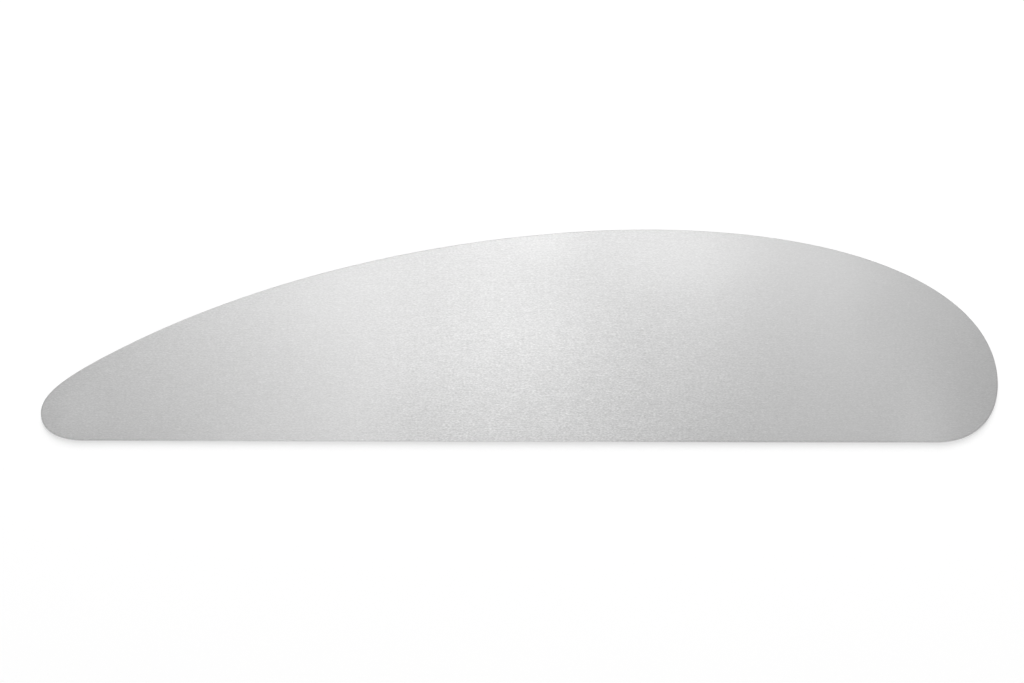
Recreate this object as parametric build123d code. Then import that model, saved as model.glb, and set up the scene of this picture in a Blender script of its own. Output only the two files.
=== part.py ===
from build123d import *
import os

# Long steel rib for shaping and smoothing clay.
#
# The blade lies on its back face. X runs along it from nose to heel, Y runs from the straight
# edge to the crown of the back, and Z is the thickness of the sheet. The origin is the middle
# of the blade's length and height, on the plane that it lies on. Lengths are in millimetres.

# Sheet that the blade is blanked from
blade_length = 190.5
blade_height = 44.45
sheet_thickness = 0.5

# Rim, tumbled smooth after blanking
rim_radius = 0.12
rim_limit_share = 0.45

# Crown, the highest point of the back, as a share of the length from the nose
crown_share = 0.636

# Nose, the narrow rounded end: height of its tip, and run from the tip to the straight edge
nose_height = 5.8
nose_run = 9.0

# Shoulder, where the rounding of the nose turns into the long back
shoulder_run = 13.5
shoulder_height = 18.1

# Heel, the broad rounded end: height of its tip, and run from the tip to the straight edge
heel_height = 12.5
heel_run = 12.8

# Fullness of the rounded ends: how far each curve keeps its direction at its first and at its
# last point, as shares of the run and the rise that it covers
heel_corner_shares = (0.75, 0.48)
front_shares = (0.59, 0.61)
upper_nose_shares = (0.88, 0.27)
lower_nose_shares = (0.4, 0.85)

# Long back: how far it keeps level at the crown, as a share of the run down to the shoulder, and
# the point that it aims for as it leaves the shoulder, as shares of the run and the rise
crown_draw_share = 0.25
shoulder_aim_shares = (0.345, 0.775)

# Directions along the sheet
forward = Vector(1, 0)
up = Vector(0, 1)


def heel_curves(edge_end, heel, crown):
    """The corner from the straight edge to the heel, and the front of the back up to the crown."""
    corner = Bezier(
        edge_end,
        edge_end + forward * (heel_corner_shares[0] * heel_run),
        heel - up * (heel_corner_shares[1] * heel_height),
        heel,
    )
    front = Bezier(
        heel,
        heel + up * (front_shares[0] * (crown.Y - heel.Y)),
        crown + forward * (front_shares[1] * (heel.X - crown.X)),
        crown,
    )
    return [corner, front]


def back_curve(crown, aim, shoulder):
    """The long back, which falls from the crown to the shoulder above the nose."""
    level = crown - forward * (crown_draw_share * (crown.X - shoulder.X))
    return Bezier(crown, level, aim, shoulder)


def nose_curves(shoulder, aim, nose, edge_start):
    """The upper and the lower half of the nose, down to the start of the straight edge."""
    downhill = (shoulder - aim).normalized()
    upper = Bezier(
        shoulder,
        shoulder + downhill * (upper_nose_shares[0] * shoulder_run),
        nose + up * (upper_nose_shares[1] * (shoulder.Y - nose.Y)),
        nose,
    )
    lower = Bezier(
        nose,
        nose - up * (lower_nose_shares[0] * nose_height),
        edge_start - forward * (lower_nose_shares[1] * nose_run),
        edge_start,
    )
    return [upper, lower]


def blade_outline():
    """The closed outline, with the nose tip at X zero and the straight edge at Y zero."""
    edge_start = Vector(nose_run, 0)
    edge_end = Vector(blade_length - heel_run, 0)
    heel = Vector(blade_length, heel_height)
    crown = Vector(crown_share * blade_length, blade_height)
    shoulder = Vector(shoulder_run, shoulder_height)
    nose = Vector(0, nose_height)
    climb = crown - shoulder
    aim = shoulder + Vector(shoulder_aim_shares[0] * climb.X, shoulder_aim_shares[1] * climb.Y)
    return [
        Line(edge_start, edge_end),
        *heel_curves(edge_end, heel, crown),
        back_curve(crown, aim, shoulder),
        *nose_curves(shoulder, aim, nose, edge_start),
    ]


def make_blade():
    """The flat blade, one piece of sheet with its whole rim rounded over on both faces."""
    blank = extrude(make_face(blade_outline()), amount=sheet_thickness)
    rim = blank.faces().filter_by(Axis.Z).edges()
    blade = fillet(rim, min(rim_radius, rim_limit_share * sheet_thickness))
    return Pos(-blade_length / 2, -blade_height / 2) * blade


os.makedirs("parts", exist_ok=True)
export_step(make_blade(), "parts/rib_blade.step")
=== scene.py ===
import logging
import math
from dataclasses import dataclass
from enum import Enum
from typing import Iterable, Mapping, Optional, Sequence, Union

import bmesh
import bpy
from mathutils import Matrix, Vector


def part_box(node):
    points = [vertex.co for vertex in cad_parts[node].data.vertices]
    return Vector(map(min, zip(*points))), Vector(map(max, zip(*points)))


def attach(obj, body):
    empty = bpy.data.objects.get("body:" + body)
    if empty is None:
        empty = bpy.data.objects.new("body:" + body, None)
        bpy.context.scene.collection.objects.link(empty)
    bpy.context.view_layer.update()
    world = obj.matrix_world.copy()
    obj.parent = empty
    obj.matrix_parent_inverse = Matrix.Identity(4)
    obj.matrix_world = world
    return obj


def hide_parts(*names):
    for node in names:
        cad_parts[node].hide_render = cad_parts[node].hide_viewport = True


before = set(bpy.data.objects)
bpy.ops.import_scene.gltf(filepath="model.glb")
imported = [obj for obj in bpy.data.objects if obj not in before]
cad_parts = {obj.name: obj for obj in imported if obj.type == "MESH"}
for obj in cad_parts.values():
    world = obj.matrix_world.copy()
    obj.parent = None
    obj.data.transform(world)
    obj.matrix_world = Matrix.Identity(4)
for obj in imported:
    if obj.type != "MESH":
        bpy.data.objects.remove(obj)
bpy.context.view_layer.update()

# Long steel rib for shaping and smoothing clay, lying on its back face on a pale table.
#
# Everything is in metres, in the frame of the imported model: X from the nose to the heel, Y from
# the straight edge to the crown of the back, Z up through the sheet. Patterns on the steel are
# worked out in millimetres.

LOG = logging.getLogger("rib")

MM = 0.001
MM_PER_METRE = 1000.0
MICRON = 1e-6

Triple = tuple[float, float, float]
Colour = tuple[float, float, float, float]


# Shader maths


class Blend(Enum):
    """Easing of a Map Range node."""

    STRAIGHT = "LINEAR"
    SMOOTH = "SMOOTHSTEP"


class Ray(Enum):
    """Kinds of ray that see the studio's white, by their output on the Light Path node."""

    CAMERA = "Is Camera Ray"
    GLOSSY = "Is Glossy Ray"
    TRANSMISSION = "Is Transmission Ray"


class Wire:
    """The output of a node, with arithmetic on it.

    Numbers go through Math nodes. Where either side is a vector or a colour, the sum goes
    through a Vector Math node, so that no colour turns grey.
    """

    def __init__(self, bench: "NodeBench", socket: bpy.types.NodeSocket) -> None:
        """Wraps a socket.

        Args:
            bench: The bench whose tree the socket belongs to.
            socket: The output socket.
        """
        self.bench = bench
        self.socket = socket

    @property
    def is_vector(self) -> bool:
        """True for a vector or a colour."""
        return self.socket.type in {"VECTOR", "RGBA"}

    def _join(self, operation: str, left: "Plug", right: "Plug") -> "Wire":
        """Adds the node for one operation.

        Args:
            operation: The name that Math and Vector Math both know.
            left: The first side, a wire or a plain value.
            right: The second side.

        Returns:
            The wire that carries the result.
        """
        sides = (left, right)
        wide = any(isinstance(side, Wire) and side.is_vector for side in sides)
        kind = "ShaderNodeVectorMath" if wide else "ShaderNodeMath"
        if wide:
            sides = tuple((side,) * 3 if isinstance(side, (int, float)) else side for side in sides)
        return self.bench.add(kind, {"operation": operation}, {0: sides[0], 1: sides[1]})

    def __add__(self, other: "Plug") -> "Wire":
        """The sum of both sides."""
        return self._join("ADD", self, other)

    def __radd__(self, other: "Plug") -> "Wire":
        """The sum of both sides."""
        return self._join("ADD", other, self)

    def __sub__(self, other: "Plug") -> "Wire":
        """This side less the other."""
        return self._join("SUBTRACT", self, other)

    def __rsub__(self, other: "Plug") -> "Wire":
        """The other side less this one."""
        return self._join("SUBTRACT", other, self)

    def __mul__(self, other: "Plug") -> "Wire":
        """The product of both sides."""
        return self._join("MULTIPLY", self, other)

    def __rmul__(self, other: "Plug") -> "Wire":
        """The product of both sides."""
        return self._join("MULTIPLY", other, self)


Plug = Union[Wire, float, int, Sequence[float]]


def grey(level: float) -> Colour:
    """A grey of one brightness; 1 is white."""
    return (level, level, level, 1.0)


class NodeBench:
    """A node tree, cleared, with one way to add a node to it.

    The Mix node has its sockets for colours behind those for numbers and vectors, under the
    same names, so their places on the node stand here.
    """

    FIRST_COLOUR = 6
    SECOND_COLOUR = 7
    MIXED_COLOUR = 2

    def __init__(self, tree: bpy.types.NodeTree) -> None:
        """Clears a tree for new nodes.

        Args:
            tree: The node tree of a material or a world.
        """
        self.tree = tree
        self.tree.nodes.clear()

    def add(
        self,
        kind: str,
        settings: Optional[Mapping[str, object]] = None,
        sockets: Optional[Mapping[Union[int, str], Plug]] = None,
        out: Union[int, str] = 0,
    ) -> Wire:
        """Adds a node.

        Args:
            kind: The node's type.
            settings: Its own settings, which are made first.
            sockets: Values or wires for its inputs, by name or number.
            out: The output that is wanted.

        Returns:
            The wire from that output.
        """
        node = self.tree.nodes.new(kind)
        for name, value in (settings or {}).items():
            setattr(node, name, value.value if isinstance(value, Enum) else value)
        for name, value in (sockets or {}).items():
            if isinstance(value, Wire):
                self.tree.links.new(value.socket, node.inputs[name])
            else:
                node.inputs[name].default_value = value
        return Wire(self, node.outputs[out])

    def finish(self, kind: str, shader: Wire) -> None:
        """Links a shader to the tree's output.

        Args:
            kind: The type of the output node.
            shader: The wire from the last shader node.
        """
        output = self.tree.nodes.new(kind)
        self.tree.links.new(shader.socket, output.inputs["Surface"])

    def part(self, vector: Wire, axis: str) -> Wire:
        """One number of a vector."""
        return self.add("ShaderNodeSeparateXYZ", {}, {"Vector": vector}, axis)

    def ramp(
        self,
        value: Wire,
        start: float,
        end: float,
        low: float = 0.0,
        high: float = 1.0,
        easing: Blend = Blend.SMOOTH,
    ) -> Wire:
        """Turns a stretch of a number into another stretch, held at both ends.

        Args:
            value: The number.
            start: Where the stretch begins.
            end: Where it ends.
            low: The result at the start.
            high: The result at the end.
            easing: How it goes from one to the other.

        Returns:
            The wire that carries the result.
        """
        return self.add(
            "ShaderNodeMapRange",
            {"interpolation_type": easing, "clamp": True},
            {"Value": value, "From Min": start, "From Max": end, "To Min": low, "To Max": high},
        )

    def mix_colour(self, share: Wire, first: Plug, second: Plug) -> Wire:
        """Mixes two colours.

        Args:
            share: 0 gives the first colour and 1 the second.
            first: A colour of four numbers, or a wire.
            second: The same.

        Returns:
            The wire that carries the colour.
        """
        return self.add(
            "ShaderNodeMix",
            {"data_type": "RGBA", "clamp_factor": True},
            {"Factor": share, self.FIRST_COLOUR: first, self.SECOND_COLOUR: second},
            self.MIXED_COLOUR,
        )

    def length(self, vector: Wire) -> Wire:
        """The length of a vector."""
        return self.add("ShaderNodeVectorMath", {"operation": "LENGTH"}, {0: vector}, "Value")

    def size(self, value: Wire) -> Wire:
        """A number without its sign."""
        return self.add("ShaderNodeMath", {"operation": "ABSOLUTE"}, {0: value})

    def seen(self, rays: Iterable[Ray]) -> Wire:
        """A number that is 1 for the named kinds of ray and 0 for all others.

        Args:
            rays: The kinds of ray.

        Returns:
            The wire that carries the number.
        """
        path = self.add("ShaderNodeLightPath").socket.node
        total: Optional[Wire] = None
        for ray in rays:
            flag = Wire(self, path.outputs[ray.value])
            total = flag if total is None else total + flag
        return self.ramp(total, 0.0, 1.0, easing=Blend.STRAIGHT)


# Steel


@dataclass(frozen=True)
class BrushMarks:
    """One size of mark that the brushing belt leaves, as a noise drawn out along the blade.

    Attributes:
        length: Run of a mark along the blade, in millimetres.
        width: Width of a mark across the blade, in millimetres.
        detail: Octaves of finer marks inside it.
        tone: Share by which it lightens and darkens the steel.
        depth: Height from ridge to groove, in micrometres.
        shift: Moves the pattern, so that no two sizes line up.
        roughening: What it adds to the roughness of the steel.
        decay: Strength of each octave, as a share of the one before.
        waver: How far the marks stray from straight lines.
        spark: How much stronger a light mark is than a dark one.
        bite: How much stronger a deep mark is than a faint one.
        middle: Middle of the plain noise.
    """

    length: float
    width: float
    detail: float
    tone: float
    depth: float
    shift: float
    roughening: float = 0.0
    decay: float = 0.62
    waver: float = 0.3
    spark: float = 0.9
    bite: float = 5.0
    middle: float = 0.5

    def noise(self, bench: NodeBench, place: Wire) -> Wire:
        """The marks as a number round zero.

        Args:
            bench: The bench of the material.
            place: The place on the steel, in millimetres.

        Returns:
            The wire that carries the number.
        """
        drawn = place * (1.0 / self.length, 1.0 / self.width, 1.0 / self.width)
        moved = drawn + (self.shift, self.shift, self.shift)
        noise = bench.add(
            "ShaderNodeTexNoise",
            {"noise_dimensions": "3D", "normalize": True},
            {
                "Vector": moved,
                "Scale": 1.0,
                "Detail": self.detail,
                "Roughness": self.decay,
                "Distortion": self.waver,
            },
        )
        mark = noise - self.middle
        return mark * (1.0 + mark * self.spark + mark * mark * self.bite)


@dataclass(frozen=True)
class GrainGlint:
    """How strongly the brush marks show at each place. The marks are the steel's own grain; their
    extra strength where the overhead highlight falls is a painted glint.

    Attributes:
        nose: Strength of the marks at the nose.
        middle: Their strength where the highlight falls, raised there as a painted glint.
        heel: Their strength near the heel.
        crown: Share of the strength that is left towards the crown, from the middle to the heel.
        rise: Where the strength begins to rise and where it is full, in millimetres from the
            middle, along the blade.
        fall: Where it begins to fall and where it is down, in the same way.
        lift: Where it begins to ease and is eased, in millimetres across the blade.
        onset: Where along the blade this easing begins and is full, in the same way.
    """

    nose: float = 0.93
    middle: float = 1.8
    heel: float = 0.65
    crown: float = 0.56
    rise: tuple[float, float] = (-40.0, -8.0)
    fall: tuple[float, float] = (12.0, 66.0)
    lift: tuple[float, float] = (-14.0, 22.0)
    onset: tuple[float, float] = (-70.0, 0.0)

    def strength(self, bench: NodeBench, place: Wire) -> Wire:
        """The strength of the marks at each place.

        Args:
            bench: The bench of the material.
            place: The place on the steel, in millimetres.

        Returns:
            The wire that carries the strength.
        """
        along = bench.part(place, "X")
        across = bench.part(place, "Y")
        rise = bench.ramp(along, *self.rise, low=self.nose, high=self.middle)
        fall = bench.ramp(along, *self.fall, low=1.0, high=self.heel / self.middle)
        ease = bench.ramp(across, *self.lift) * bench.ramp(along, *self.onset)
        return rise * fall * (1.0 - ease * (1.0 - self.crown))


@dataclass(frozen=True)
class SheetRoll:
    """A gentle roll that the sheet keeps from its coil, across the blade's length.

    Attributes:
        place: Where along the blade the roll is, in millimetres from the middle.
        reach: Half of its width, in millimetres.
        lean: How far it tips the face towards the heel, in degrees.
        slant: How far the roll's line runs along the blade for each step across it.
    """

    place: float
    reach: float
    lean: float
    slant: float = 0.0

    def tip(self, bench: NodeBench, place: Wire) -> Wire:
        """The slope at each place.

        Args:
            bench: The bench of the material.
            place: The place on the steel, in millimetres.

        Returns:
            The wire that carries the slope.
        """
        along = bench.part(place, "X") - bench.part(place, "Y") * self.slant
        rise = bench.ramp(along, self.place - self.reach, self.place)
        fall = bench.ramp(along, self.place, self.place + self.reach)
        return (rise - fall) * math.tan(math.radians(self.lean))


@dataclass(frozen=True)
class SheenSpot:
    """A soft spot of painted light: where its tone is above zero the steel's colour is made lighter,
    a painted sheen, and where it is below zero darker, a painted shade.

    Attributes:
        place: Its middle along and across the blade, in millimetres.
        reach: How far it goes from there, along and across, in millimetres.
        tone: Share by which its middle is lighter; below zero is darker.
    """

    place: tuple[float, float]
    reach: tuple[float, float]
    tone: float

    def sheen_share(self, bench: NodeBench, place: Wire) -> Wire:
        """The share of painted sheen by which each place is lighter.

        Args:
            bench: The bench of the material.
            place: The place on the steel, in millimetres.

        Returns:
            The wire that carries the share.
        """
        moved = place - (*self.place, 0.0)
        scaled = moved * (1.0 / self.reach[0], 1.0 / self.reach[1], 0.0)
        return bench.ramp(bench.length(scaled), 0.0, 1.0, low=self.tone, high=0.0)


@dataclass(frozen=True)
class BrushedSteel:
    """Stainless sheet, brushed along the blade on both faces, with its rim tumbled smooth. Its
    colour also carries painted light: sheen spots, a glint of the grain, and shade and highlight on
    the rim.

    Attributes:
        colour: The steel's own colour, a plain grey.
        tone_reach: The largest share by which any tone darkens or lightens it.
        roughness: Roughness of the brushed faces.
        spread: How much further the marks spread a reflection across them than along them.
        rim_roughness: Roughness of the tumbled rim.
        edge_rounding_shading: Painted light on the rounding of the straight edge: how much darker it
            is than the faces, as a share; below zero is lighter, a painted sheen.
        back_rounding_shading: The same painted light for the rounding of the back: a painted sheen
            towards the nose and a painted shade at the heel.
        back_turn: Where along the blade the first of these turns into the second, in millimetres.
        back_start: Where across the blade they begin and hold fully, in the same way.
        painted_wall_highlight: The same share for the wall between the roundings; it is below zero,
            a painted highlight that makes the wall lighter for the bright reflection along the
            straight edge.
        mid_height: Height of the middle of the sheet, in millimetres.
        wall: How far above and below it the wall begins to show and shows fully.
        edge_shade_tone: How much darker the band inside the rim is, a painted shade along the rim.
        edge_shade_width: Width of that band of painted shade, in millimetres.
        line_shade_tone: How much darker a fine line inside the lower rim is, towards both ends, a
            painted shade along the edge.
        line_width: Width of that line, in millimetres.
        line_nose: Where along the blade the line begins and is full, on the way to the nose.
        line_heel: The same on the way to the heel.
        rim_width: Width of the tumbled strip on the faces, in millimetres.
        marks: The sizes of brush mark.
        grain_glint: How strongly the marks show at each place, raised as a painted glint where the
            highlight falls.
        rolls: The rolls of the sheet.
        sheen_spots: The spots of painted sheen and painted shade.
    """

    colour: float = 0.62
    tone_reach: float = 0.5
    roughness: float = 0.285
    spread: float = 0.4
    rim_roughness: float = 0.32
    edge_rounding_shading: float = -0.02
    back_rounding_shading: tuple[float, float] = (-0.14, 0.03)
    back_turn: tuple[float, float] = (36.0, 72.0)
    back_start: tuple[float, float] = (-16.0, -4.0)
    painted_wall_highlight: float = -0.5
    mid_height: float = 0.25
    wall: tuple[float, float] = (0.17, 0.13)
    edge_shade_tone: float = 0.012
    edge_shade_width: float = 3.5
    line_shade_tone: float = 0.16
    line_width: float = 0.3
    line_nose: tuple[float, float] = (-50.0, -84.0)
    line_heel: tuple[float, float] = (4.0, 38.0)
    rim_width: float = 0.12
    marks: tuple[BrushMarks, ...] = (
        BrushMarks(0.46, width=0.17, detail=2.0, tone=0.52, depth=0.12, shift=11.3, roughening=0.02),
        BrushMarks(4.0, width=0.17, detail=1.0, tone=0.12, depth=0.08, shift=37.1, roughening=0.012),
        BrushMarks(40.0, width=0.3, detail=1.0, tone=0.025, depth=0.1, shift=71.9),
        BrushMarks(30.0, width=18.0, detail=1.0, tone=0.02, depth=0.0, shift=5.7),
    )
    # Strength of the marks by place, with a painted glint where the highlight falls.
    grain_glint: GrainGlint = GrainGlint()
    rolls: tuple[SheetRoll, ...] = (
        SheetRoll(place=-91.0, reach=44.0, lean=0.75, slant=0.63),
        SheetRoll(place=-15.5, reach=16.5, lean=-0.74),
        SheetRoll(place=19.0, reach=24.0, lean=0.83, slant=-0.42),
        SheetRoll(place=48.5, reach=18.5, lean=0.38, slant=0.27),
        SheetRoll(place=88.5, reach=20.5, lean=1.02, slant=-0.5),
    )
    # Spots of painted sheen (tone above zero) and painted shade (tone below zero).
    sheen_spots: tuple[SheenSpot, ...] = (
        SheenSpot(place=(-88.0, -16.0), reach=(8.0, 8.0), tone=0.045),
        SheenSpot(place=(-45.0, -10.0), reach=(22.0, 18.0), tone=-0.025),
        SheenSpot(place=(-18.0, -18.0), reach=(16.0, 12.0), tone=-0.04),
        SheenSpot(place=(-18.0, 16.0), reach=(38.0, 26.0), tone=-0.03),
        SheenSpot(place=(5.0, 0.0), reach=(24.0, 20.0), tone=0.045),
        SheenSpot(place=(5.0, 20.0), reach=(12.0, 9.0), tone=0.06),
        SheenSpot(place=(32.0, 15.0), reach=(22.0, 10.0), tone=0.04),
        SheenSpot(place=(50.0, -22.0), reach=(24.0, 40.0), tone=-0.05),
        SheenSpot(place=(71.0, 4.0), reach=(10.0, 10.0), tone=-0.03),
        SheenSpot(place=(80.0, -25.0), reach=(10.0, 24.0), tone=0.075),
        SheenSpot(place=(94.0, -4.0), reach=(10.0, 30.0), tone=-0.035),
    )

    def material(self) -> bpy.types.Material:
        """Makes the material.

        Returns:
            The material.
        """
        steel = bpy.data.materials.new("brushed_steel")
        steel.use_nodes = True
        bench = NodeBench(steel.node_tree)
        place = bench.add("ShaderNodeTexCoord", {}, {}, "Object") * MM_PER_METRE
        inward = bench.add(
            "ShaderNodeAttribute", {"attribute_name": Blade.DISTANCE_NAME}, {}, "Fac"
        )
        face = bench.ramp(inward, 0.0, self.rim_width)

        marks = [(mark, mark.noise(bench, place)) for mark in self.marks]
        height = sum((noise * mark.depth for mark, noise in marks), 0.0)
        brushing = sum((noise * mark.tone for mark, noise in marks), 0.0)
        brushed = sum((noise * mark.roughening for mark, noise in marks), self.roughness)
        roughness = brushed * face + (1.0 - face) * self.rim_roughness

        # Painted sheen and painted shade: soft spots lighten and darken the colour for the brighter
        # and dimmer parts of the steel's reflection.
        painted_sheen = sum((spot.sheen_share(bench, place) for spot in self.sheen_spots), 1.0)
        # The grain's own tone, strengthened as a painted glint where the highlight falls, with the
        # painted sheen added.
        tone = brushing * self.grain_glint.strength(bench, place) + painted_sheen
        tone = tone - self._painted_rim_light(bench, place, inward)

        shader = bench.add(
            "ShaderNodeBsdfPrincipled",
            {},
            {
                "Base Color": self._coloured(bench, tone),
                "Metallic": 1.0,
                "Roughness": roughness,
                "Anisotropic": self.spread,
                "Normal": self._normal(bench, place, height * face),
            },
        )
        bench.finish("ShaderNodeOutputMaterial", shader)
        return steel

    def _painted_rim_light(self, bench: NodeBench, place: Wire, inward: Wire) -> Wire:
        """How much darker each place is for lying on the rim or near it, as painted light: painted
        shade in a band and a line inside the rim, and painted sheen and highlight on the roundings
        and the wall.

        Args:
            bench: The bench of the material.
            place: The place on the steel, in millimetres.
            inward: How far inside the rim's rounding it is, in millimetres.

        Returns:
            The wire that carries the share.
        """
        along = bench.part(place, "X")
        wall = bench.ramp(bench.size(bench.part(place, "Z") - self.mid_height), *self.wall)
        # Painted light on the roundings: lighter or darker by place along the blade, for how
        # brightly they reflect the studio.
        upper = bench.ramp(bench.part(place, "Y"), *self.back_start)
        lower = 1.0 - upper
        low, high = self.back_rounding_shading
        back = bench.ramp(along, *self.back_turn, low=low, high=high)
        rounding = upper * back + lower * self.edge_rounding_shading
        # The wall is made lighter: a painted highlight for the bright line it reflects along the
        # straight edge.
        rim = rounding + wall * (self.painted_wall_highlight - rounding)
        # A fine line of painted shade inside the lower rim, towards both ends.
        ends = bench.ramp(along, *self.line_nose) + bench.ramp(along, *self.line_heel)
        line = ends * lower * (1.0 - wall) * self.line_shade_tone
        on_rim = bench.ramp(inward, 0.0, self.rim_width, low=1.0, high=0.0)
        on_line = bench.ramp(inward, 0.0, self.line_width, low=1.0, high=0.0)
        # A band of painted shade just inside the rim.
        rim_band_shade = bench.ramp(inward, 0.0, self.edge_shade_width, low=self.edge_shade_tone, high=0.0)
        return on_rim * rim + on_line * line + rim_band_shade

    def _coloured(self, bench: NodeBench, tone: Wire) -> Wire:
        """The colour for a tone of 1 give or take a share.

        Args:
            bench: The bench of the material.
            tone: The tone.

        Returns:
            The wire that carries the colour.
        """
        darkest, lightest = 1.0 - self.tone_reach, 1.0 + self.tone_reach
        share = bench.ramp(tone, darkest, lightest, easing=Blend.STRAIGHT)
        return bench.mix_colour(share, grey(self.colour * darkest), grey(self.colour * lightest))

    def _normal(self, bench: NodeBench, place: Wire, height: Wire) -> Wire:
        """The direction of the face, with the rolls of the sheet and the brush marks.

        The rolls fade out where the rim turns down, so that its wall stays upright.

        Args:
            bench: The bench of the material.
            place: The place on the steel, in millimetres.
            height: The height of the marks, in micrometres.

        Returns:
            The wire that carries the normal.
        """
        flat = bench.add("ShaderNodeNewGeometry", {}, {}, "Normal")
        tip = sum((roll.tip(bench, place) for roll in self.rolls), 0.0)
        level = bench.part(flat, "Z")
        lean = bench.add("ShaderNodeCombineXYZ", {}, {"X": tip * level * level})
        rolled = bench.add(
            "ShaderNodeVectorMath", {"operation": "NORMALIZE"}, {0: flat + lean}
        )
        return bench.add(
            "ShaderNodeBump", {}, {"Distance": MICRON, "Height": height, "Normal": rolled}
        )


@dataclass
class Blade:
    """The whole rib: one flat sheet with a rounded rim.

    Steel spreads a reflection in rings round the middle of the mesh's texture space. That middle
    is moved far off along the blade, so over the blade the rings run straight across the marks.

    Attributes:
        DISTANCE_NAME: Name of the mesh's note of how far inside the rim a place is.
        SAME_POINT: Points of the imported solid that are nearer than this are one.
        STRAIGHT: Edges that turn by less than this are one straight edge, in radians.
        GRAIN_PIVOT: How far the middle of the texture space is from the blade's, past the nose.
        node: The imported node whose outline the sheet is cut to.
        rim_radius: Radius of the rim's rounding.
        rim_segments: Faces across the rounding.
        longest_facet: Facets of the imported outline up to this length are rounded.
        facet_cuts: Cuts that round each of them.
        bands: Widths of the rings of faces inside the rim, from the outside in.
        finish: The steel.
    """

    DISTANCE_NAME = "rim_distance"
    SAME_POINT = 1e-5 * MM
    STRAIGHT = math.radians(0.02)
    GRAIN_PIVOT = 10.0

    node: str = "rib_blade"
    rim_radius: float = 0.12 * MM
    rim_segments: int = 5
    longest_facet: float = 20.0 * MM
    facet_cuts: int = 3
    bands: tuple[float, ...] = (0.12 * MM, 0.6 * MM, 2.8 * MM)
    finish: BrushedSteel = BrushedSteel()

    @property
    def thickness(self) -> float:
        """Thickness of the sheet, as packed."""
        low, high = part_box(self.node)
        return high.z - low.z

    def _cut_outline(self, bm: bmesh.types.BMesh) -> None:
        """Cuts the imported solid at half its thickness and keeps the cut, as a loop on the table.

        Args:
            bm: An empty bmesh.
        """
        half = self.thickness / 2
        bm.from_mesh(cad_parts[self.node].data)
        bmesh.ops.remove_doubles(bm, verts=bm.verts[:], dist=self.SAME_POINT)
        bmesh.ops.bisect_plane(
            bm,
            geom=[*bm.verts, *bm.edges, *bm.faces],
            dist=self.SAME_POINT,
            plane_co=(0.0, 0.0, half),
            plane_no=(0.0, 0.0, 1.0),
            clear_inner=True,
            clear_outer=True,
        )
        bmesh.ops.edgeloop_fill(bm, edges=bm.edges[:])
        bmesh.ops.dissolve_limit(
            bm, angle_limit=self.STRAIGHT, verts=bm.verts[:], edges=bm.edges[:]
        )
        bmesh.ops.delete(bm, geom=bm.faces[:], context="FACES_ONLY")
        bmesh.ops.translate(bm, verts=bm.verts[:], vec=(0.0, 0.0, -half))

    def _raise_wall(self, bm: bmesh.types.BMesh) -> None:
        """Draws the loop up into a wall, rounds its facets and closes it with two flat faces.

        Args:
            bm: The bmesh with the loop.
        """
        made = bmesh.ops.extrude_edge_only(bm, edges=bm.edges[:])
        top = [item for item in made["geom"] if isinstance(item, bmesh.types.BMVert)]
        bmesh.ops.translate(bm, verts=top, vec=(0.0, 0.0, self.thickness))
        bmesh.ops.recalc_face_normals(bm, faces=bm.faces[:])
        curved = [
            edge
            for edge in bm.edges
            if edge.is_boundary and edge.calc_length() < self.longest_facet
        ]
        bmesh.ops.subdivide_edges(
            bm,
            edges=curved,
            cuts=self.facet_cuts,
            smooth=1.0,
            smooth_falloff="LINEAR",
            use_grid_fill=True,
        )
        rims = [edge for edge in bm.edges if edge.is_boundary]
        bmesh.ops.holes_fill(bm, edges=rims, sides=0)
        bmesh.ops.recalc_face_normals(bm, faces=bm.faces[:])

    def _flats(self, bm: bmesh.types.BMesh) -> list[bmesh.types.BMFace]:
        """The two flat faces, which are by far the largest."""
        return sorted(bm.faces, key=lambda face: -face.calc_area())[:2]

    def _round_rim(self, bm: bmesh.types.BMesh) -> None:
        """Rounds both edges of the rim.

        Args:
            bm: The bmesh.
        """
        flats = self._flats(bm)
        level = list({edge for flat in flats for edge in flat.edges})
        bmesh.ops.bevel(
            bm,
            geom=level,
            offset=self.rim_radius,
            offset_type="OFFSET",
            segments=self.rim_segments,
            profile=0.5,
            affect="EDGES",
            clamp_overlap=False,
            material=-1,
        )
        flats = self._flats(bm)
        for face in bm.faces:
            face.smooth = face not in flats

    def _ring_bands(self, bm: bmesh.types.BMesh) -> None:
        """Lays rings of faces inside the rim and notes how far in each of them is.

        Args:
            bm: The bmesh.
        """
        layer = bm.verts.layers.float.new(self.DISTANCE_NAME)
        for flat in self._flats(bm):
            inward = 0.0
            for width in self.bands:
                bmesh.ops.inset_region(
                    bm, faces=[flat], thickness=width, use_even_offset=True, use_boundary=True
                )
                inward += width
                for vert in flat.verts:
                    vert[layer] = inward * MM_PER_METRE

    def build(self) -> bpy.types.Object:
        """Makes the blade and dresses it.

        Returns:
            The finished piece.
        """
        bm = bmesh.new()
        self._cut_outline(bm)
        self._raise_wall(bm)
        self._round_rim(bm)
        self._ring_bands(bm)
        mesh = bpy.data.meshes.new("blade")
        bm.to_mesh(mesh)
        bm.free()
        mesh.materials.append(self.finish.material())
        mesh.use_auto_texspace = False
        mesh.texspace_location = (-self.GRAIN_PIVOT, 0.0, 0.0)
        mesh.texspace_size = (1.0, 1.0, 1.0)
        piece = bpy.data.objects.new("blade", mesh)
        bpy.context.scene.collection.objects.link(piece)
        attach(piece, "root")
        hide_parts(self.node)
        return piece


# Studio


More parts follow.
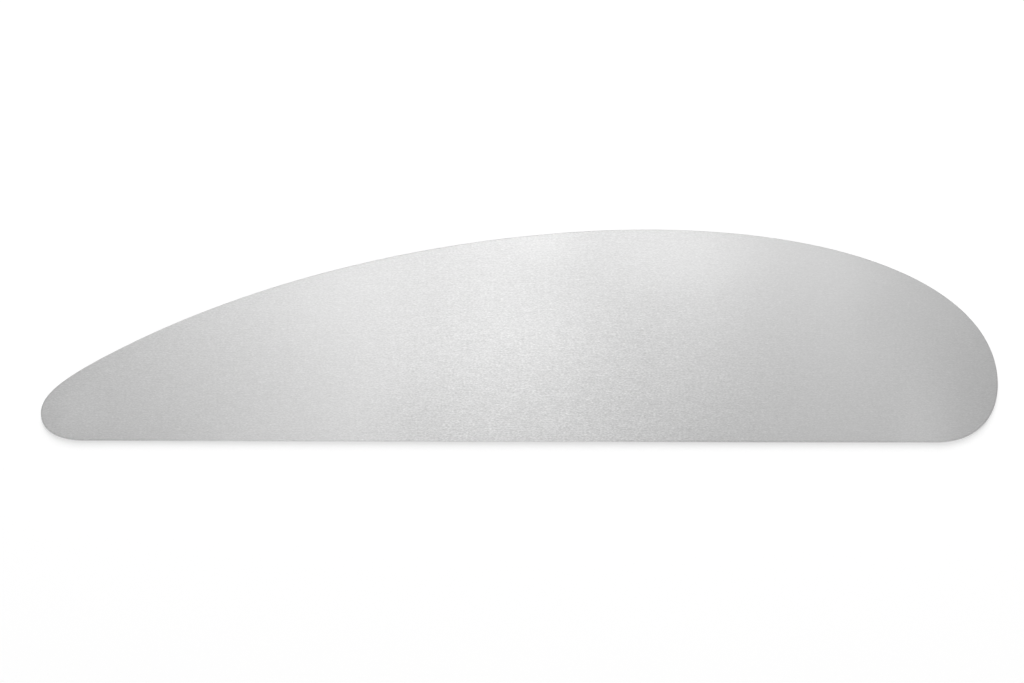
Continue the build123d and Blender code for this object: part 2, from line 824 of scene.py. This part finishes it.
@dataclass
class Table:
    """The pale table top that the rib lies on.

    Attributes:
        radius: Reach of the top from the middle.
        sides: Sides of its round outline.
        drop: Gap under the blade, so that no two faces share a place.
        paint: Share of the light that the top gives back.
        glow: Share of its white that it has for the rays that look at it, near the rib.
        white: Brightness of that white.
        clear: Distances from the middle where the shadows begin to fade from it and are gone.
    """

    radius: float = 6.0
    sides: int = 64
    drop: float = 0.02 * MM
    paint: float = 0.93
    glow: float = 0.45
    white: float = 1.165
    clear: tuple[float, float] = (0.14, 0.4)

    def build(self) -> bpy.types.Object:
        """Makes the table top.

        Returns:
            The table top.
        """
        bm = bmesh.new()
        bmesh.ops.create_circle(bm, cap_ends=True, segments=self.sides, radius=self.radius)
        bmesh.ops.translate(bm, verts=bm.verts[:], vec=(0.0, 0.0, -self.drop))
        mesh = bpy.data.meshes.new("table_top")
        bm.to_mesh(mesh)
        bm.free()
        mesh.materials.append(self._material())
        top = bpy.data.objects.new("table_top", mesh)
        bpy.context.scene.collection.objects.link(top)
        return top

    def _material(self) -> bpy.types.Material:
        """Makes the white of the table, which keeps the rib's shadow.

        Returns:
            The material.
        """
        white = bpy.data.materials.new("white_table")
        white.use_nodes = True
        white.cycles.emission_sampling = "NONE"
        bench = NodeBench(white.node_tree)
        paint = bench.add("ShaderNodeBsdfDiffuse", {}, {"Color": grey(self.paint)})
        glow = bench.add("ShaderNodeEmission", {}, {"Color": grey(1.0), "Strength": self.white})
        bare = bench.add("ShaderNodeEmission", {}, {"Color": grey(1.0), "Strength": 1.0})
        away = bench.length(bench.add("ShaderNodeTexCoord", {}, {}, "Object"))
        looked_at = bench.seen(Ray)
        near = bench.add("ShaderNodeMixShader", {}, {0: looked_at * self.glow, 1: paint, 2: glow})
        far = looked_at * bench.ramp(away, *self.clear)
        shader = bench.add("ShaderNodeMixShader", {}, {0: far, 1: near, 2: bare})
        bench.finish("ShaderNodeOutputMaterial", shader)
        return white


@dataclass(frozen=True)
class Card:
    """A round card that hangs low in the tent, for the steel to mirror.

    Attributes:
        turn: Its direction round the table, from X towards Y, in degrees.
        rise: Its height above the table, in degrees.
        edge: How far from its middle it begins to fade and is gone, in degrees.
        gain: How much brighter than the tent it is; below zero is darker.
    """

    turn: float
    rise: float
    edge: tuple[float, float]
    gain: float

    def brightening(self, bench: NodeBench, direction: Wire) -> Wire:
        """How much brighter each direction is.

        Args:
            bench: The bench of the world.
            direction: The direction from the table.

        Returns:
            The wire that carries the gain.
        """
        turn, rise = math.radians(self.turn), math.radians(self.rise)
        level = math.cos(rise)
        middle = (level * math.cos(turn), level * math.sin(turn), math.sin(rise))
        facing = bench.add(
            "ShaderNodeVectorMath",
            {"operation": "DOT_PRODUCT"},
            {0: direction, 1: middle},
            "Value",
        )
        full, gone = (math.cos(math.radians(angle)) for angle in self.edge)
        return bench.ramp(facing, gone, full, high=self.gain)


@dataclass
class Tent:
    """The white tent round the table, with a darker roof past the blade's crown.

    Attributes:
        walls: Brightness of the walls and of the roof over the camera.
        roof: Brightness of the darker roof.
        eaves: Height where the walls meet the roof, as the sine of its elevation.
        ridge: How far towards the crown's side the roof begins and is fully dark, as the Y of
            the direction.
        light: Share of its brightness that it lights plain surfaces with.
        cards: The cards, which only the steel shows.
    """

    walls: float = 1.0
    roof: float = 0.42
    eaves: float = 0.5
    ridge: tuple[float, float] = (-0.15, 0.2)
    light: float = 0.5
    cards: tuple[Card, ...] = (
        Card(turn=150.0, rise=22.0, edge=(8.0, 24.0), gain=0.75),
        Card(turn=-62.0, rise=12.0, edge=(6.0, 30.0), gain=-0.62),
    )

    def build(self) -> bpy.types.World:
        """Makes the tent.

        Returns:
            The world.
        """
        world = bpy.data.worlds.new("tent")
        world.use_nodes = True
        bench = NodeBench(world.node_tree)
        direction = bench.add("ShaderNodeTexCoord", {}, {}, "Generated")
        above = bench.ramp(bench.part(direction, "Z"), 0.0, self.eaves, easing=Blend.STRAIGHT)
        past = bench.ramp(bench.part(direction, "Y"), *self.ridge)
        brightness = self.walls - above * past * (self.walls - self.roof)
        looked_at = bench.seen(Ray)
        share = looked_at + (1.0 - looked_at) * self.light
        cards = sum((card.brightening(bench, direction) for card in self.cards), 0.0)
        strength = brightness * share + cards * bench.seen([Ray.GLOSSY])
        shader = bench.add("ShaderNodeBackground", {}, {"Color": grey(1.0), "Strength": strength})
        bench.finish("ShaderNodeOutputWorld", shader)
        bpy.context.scene.world = world
        return world


@dataclass
class Softbox:
    """A flat lamp behind a white cloth.

    A cloth of brightness 1 gives off pi watts for each square metre.

    Attributes:
        name: The lamp's name.
        centre: Middle of the cloth.
        turns: How the lamp is turned from facing straight down, about X, Y and Z, in degrees.
        width: Width of the cloth.
        depth: The other side of the cloth.
        brightness: Brightness of the cloth, where the table's white is 1.
        mirrored: True if the steel shows the lamp; otherwise it only lights plain surfaces.
    """

    name: str
    centre: Triple
    turns: Triple
    width: float
    depth: float
    brightness: float
    mirrored: bool = True

    def build(self) -> bpy.types.Object:
        """Makes the lamp.

        Returns:
            The lamp's object.
        """
        lamp = bpy.data.lights.new(self.name, "AREA")
        lamp.shape = "RECTANGLE"
        lamp.size = self.width
        lamp.size_y = self.depth
        lamp.energy = self.brightness * self.width * self.depth * math.pi
        holder = bpy.data.objects.new(self.name, lamp)
        holder.location = self.centre
        holder.rotation_euler = [math.radians(turn) for turn in self.turns]
        holder.visible_camera = False
        holder.visible_glossy = self.mirrored
        bpy.context.scene.collection.objects.link(holder)
        return holder


@dataclass
class Viewpoint:
    """The camera above the straight edge, far back with a long lens.

    Attributes:
        target: The place on the table at the middle of the picture.
        distance: From that place to the lens.
        elevation: Height of the view above the table, in degrees.
        roll: Turn of the picture, in degrees.
        lens: Focal length, in millimetres.
        film: Width of the film, in millimetres.
        sight: The nearest and the farthest distance that the camera sees.
    """

    target: Triple = (-1.565 * MM, -1.265 * MM, 0.0)
    distance: float = 1.1364
    elevation: float = 72.612
    roll: float = 0.124
    lens: float = 200.0
    film: float = 36.0
    sight: tuple[float, float] = (0.05, 50.0)

    def build(self) -> bpy.types.Object:
        """Makes the camera and puts it in charge.

        Returns:
            The camera's object.
        """
        data = bpy.data.cameras.new("camera")
        data.sensor_width = self.film
        data.lens = self.lens
        data.clip_start, data.clip_end = self.sight
        camera = bpy.data.objects.new("camera", data)
        tilt = Matrix.Rotation(math.radians(90.0 - self.elevation), 4, "X")
        turn = Matrix.Rotation(math.radians(self.roll), 4, "Z")
        aim = tilt @ turn
        back = Vector(self.target) + tilt.to_3x3() @ Vector((0.0, 0.0, self.distance))
        camera.matrix_world = Matrix.Translation(back) @ aim
        bpy.context.scene.collection.objects.link(camera)
        bpy.context.scene.camera = camera
        return camera


def studio_lamps() -> list[Softbox]:
    """The lamps of the studio: a strip overhead, and a low and a high one past the crown."""
    return [
        Softbox(
            "strip_light",
            centre=(0.094, 0.41, 0.8),
            turns=(0.0, 0.0, -54.2),
            width=0.061,
            depth=0.482,
            brightness=6.38,
        ),
        Softbox(
            "low_light",
            centre=(0.0, 1.2, 0.44),
            turns=(-90.0, 0.0, 0.0),
            width=1.2,
            depth=0.345,
            brightness=10.0,
            mirrored=False,
        ),
        Softbox(
            "high_light",
            centre=(0.0, 1.2, 1.16),
            turns=(-90.0, 0.0, 0.0),
            width=1.2,
            depth=1.1,
            brightness=4.74,
            mirrored=False,
        ),
    ]


def main() -> None:
    """Builds the rib and its studio, and reports each piece."""
    logging.basicConfig(level=logging.INFO, format="%(name)s: %(message)s")
    bpy.context.scene.view_settings.view_transform = "Standard"
    camera = Viewpoint().build()
    LOG.info("%s: %.0f mm lens", camera.name, camera.data.lens)
    blade = Blade().build()
    mesh = blade.data
    LOG.info("%s: %d vertices, %d faces", blade.name, len(mesh.vertices), len(mesh.polygons))
    top = Table().build()
    LOG.info("%s: ready", top.name)
    Tent().build()
    for lamp in studio_lamps():
        LOG.info("%s: %.2f W", lamp.name, lamp.build().data.energy)


if __name__ == "__main__":
    main()
